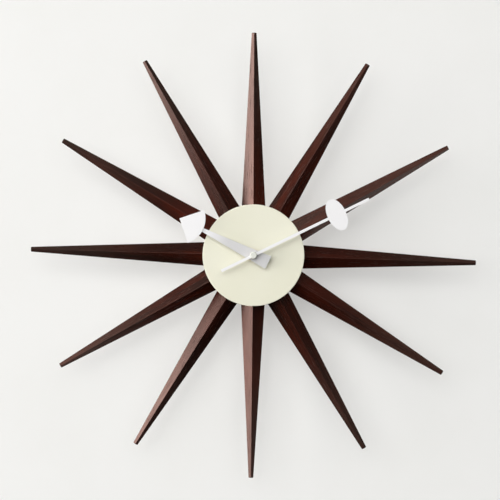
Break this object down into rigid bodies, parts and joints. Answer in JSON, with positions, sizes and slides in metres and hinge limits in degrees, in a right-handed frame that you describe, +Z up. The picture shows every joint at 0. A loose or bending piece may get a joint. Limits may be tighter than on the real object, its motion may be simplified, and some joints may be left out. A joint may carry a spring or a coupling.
{
  "type": "sunburst wall clock",
  "caption": "Round wall clock with tapered wooden rays about a plain dial disc, a fan-ended hour hand, an oval minute hand and a quartz movement in an open-backed drum.",
  "frame": {"origin": "where the axis of the hands meets the wall", "axes": "+Z up to twelve o'clock, dial facing -Y, +X to three o'clock, +Y into the wall"},
  "size_m": [0.47, 0.0631, 0.47],
  "materials": {
    "ray_wood": "dark stained hardwood, satin lacquer",
    "drum_lacquer": "pale stoved lacquer, satin",
    "dial_lacquer": "cream stoved lacquer, satin",
    "hand_white": "white lacquer",
    "hand_grey": "pale grey lacquer",
    "zinc_steel": "zinc plated",
    "bright_steel": "turned steel",
    "brass": "turned brass",
    "felt": "thin pressed felt",
    "rubber": "moulded rubber",
    "case_black": "moulded plastic, fine texture",
    "plate_grey": "moulded plastic",
    "wheel_white": "moulded acetal",
    "wheel_blue": "moulded acetal",
    "magnet": "sintered magnet",
    "soft_iron": "punched sheet",
    "copper": "enamelled copper wire",
    "bobbin_plastic": "moulded plastic",
    "board": "glass-fibre laminate",
    "crystal_can": "drawn can",
    "chip_resin": "resin drop",
    "contact_nickel": "nickel plated spring strip",
    "cell_steel": "drawn can",
    "cell_sleeve": "shrunk plastic sleeve, unprinted"
  },
  "bodies": {
    "root": {"circuit_board": "board", "coil_bobbin": "bobbin_plastic", "coil_core": "soft_iron", "coil_winding": "copper", "cover_screws": "bright_steel", "dial_disc": "dial_lacquer", "dial_nut": "brass", "dial_washer": "brass", "driver_chip": "chip_resin", "hanger_rivets": "bright_steel", "hanger_strap": "zinc_steel", "hub_drum": "drum_lacquer", "movement_cover": "case_black", "movement_front_case": "case_black", "negative_contact": "contact_nickel", "positive_contact": "contact_nickel", "quartz_crystal": "crystal_can", "ray_01": "ray_wood", "ray_02": "ray_wood", "ray_03": "ray_wood", "ray_04": "ray_wood", "ray_05": "ray_wood", "ray_06": "ray_wood", "ray_07": "ray_wood", "ray_08": "ray_wood", "ray_09": "ray_wood", "ray_10": "ray_wood", "ray_11": "ray_wood", "ray_12": "ray_wood", "ray_screws": "zinc_steel", "rubber_gasket": "rubber", "stator_plate": "soft_iron", "train_plate": "plate_grey", "wall_pad": "felt"},
    "minute_hand": {"minute_hand": "hand_white", "minute_bush": "brass", "cap_nut": "hand_white", "cannon_arbor": "brass", "clutch_spring": "bright_steel"},
    "hour_hand": {"hour_hand_arm": "hand_grey", "hour_hand_fan": "hand_white", "hour_collet": "brass", "hour_wheel": "brass"},
    "minute_wheel": {"minute_wheel": "wheel_white"},
    "setting_knob": {"setting_knob": "case_black", "setting_stem": "wheel_white"},
    "rotor": {"rotor_magnet": "magnet", "rotor_pinion": "wheel_white"},
    "step_wheel": {"step_wheel": "wheel_white"},
    "seconds_wheel": {"seconds_wheel": "wheel_blue"},
    "third_wheel": {"third_wheel": "wheel_white"},
    "centre_wheel": {"centre_wheel": "wheel_blue"},
    "battery": {"battery_can": "cell_steel", "battery_cap": "cell_steel", "battery_sleeve": "cell_sleeve"}
  },
  "joints": [
    {"name": "minute_hand_turn", "type": "hinge", "parent": "root", "child": "minute_hand", "pos_m": [0, -0.037, 0], "axis": [0, 1, 0], "continuous": true},
    {"name": "hour_hand_turn", "type": "hinge", "parent": "root", "child": "hour_hand", "pos_m": [0, -0.037, 0], "axis": [0, 1, 0], "continuous": true},
    {"name": "minute_wheel_turn", "type": "hinge", "parent": "root", "child": "minute_wheel", "pos_m": [0.0084, -0.037, 0], "axis": [0, 1, 0], "continuous": true},
    {"name": "setting_knob_turn", "type": "hinge", "parent": "root", "child": "setting_knob", "pos_m": [0.01629, -0.037, -0.00287], "axis": [0, 1, 0], "continuous": true},
    {"name": "rotor_turn", "type": "hinge", "parent": "root", "child": "rotor", "pos_m": [0, -0.037, 0.0116], "axis": [0, 1, 0], "continuous": true},
    {"name": "step_wheel_turn", "type": "hinge", "parent": "root", "child": "step_wheel", "pos_m": [0.0036, -0.037, 0.00624], "axis": [0, 1, 0], "continuous": true},
    {"name": "seconds_wheel_turn", "type": "hinge", "parent": "root", "child": "seconds_wheel", "pos_m": [0, -0.037, 0], "axis": [0, 1, 0], "continuous": true},
    {"name": "third_wheel_turn", "type": "hinge", "parent": "root", "child": "third_wheel", "pos_m": [-0.00816, -0.037, 0], "axis": [0, 1, 0], "continuous": true},
    {"name": "centre_wheel_turn", "type": "hinge", "parent": "root", "child": "centre_wheel", "pos_m": [0, -0.037, 0], "axis": [0, 1, 0], "continuous": true},
    {"name": "battery_slide", "type": "slide", "parent": "root", "child": "battery", "axis": [0, 1, 0], "range_m": [0, 0.016]}
  ],
  "couplings": [
    {"joint": "hour_hand_turn", "follows": "minute_hand_turn", "ratio": 0.083333},
    {"joint": "minute_wheel_turn", "follows": "minute_hand_turn", "ratio": -0.33333},
    {"joint": "setting_knob_turn", "follows": "minute_hand_turn", "ratio": 1},
    {"joint": "step_wheel_turn", "follows": "rotor_turn", "ratio": -0.13333},
    {"joint": "seconds_wheel_turn", "follows": "rotor_turn", "ratio": 0.033333},
    {"joint": "third_wheel_turn", "follows": "rotor_turn", "ratio": -0.0044444},
    {"joint": "centre_wheel_turn", "follows": "rotor_turn", "ratio": 0.00055556}
  ]
}
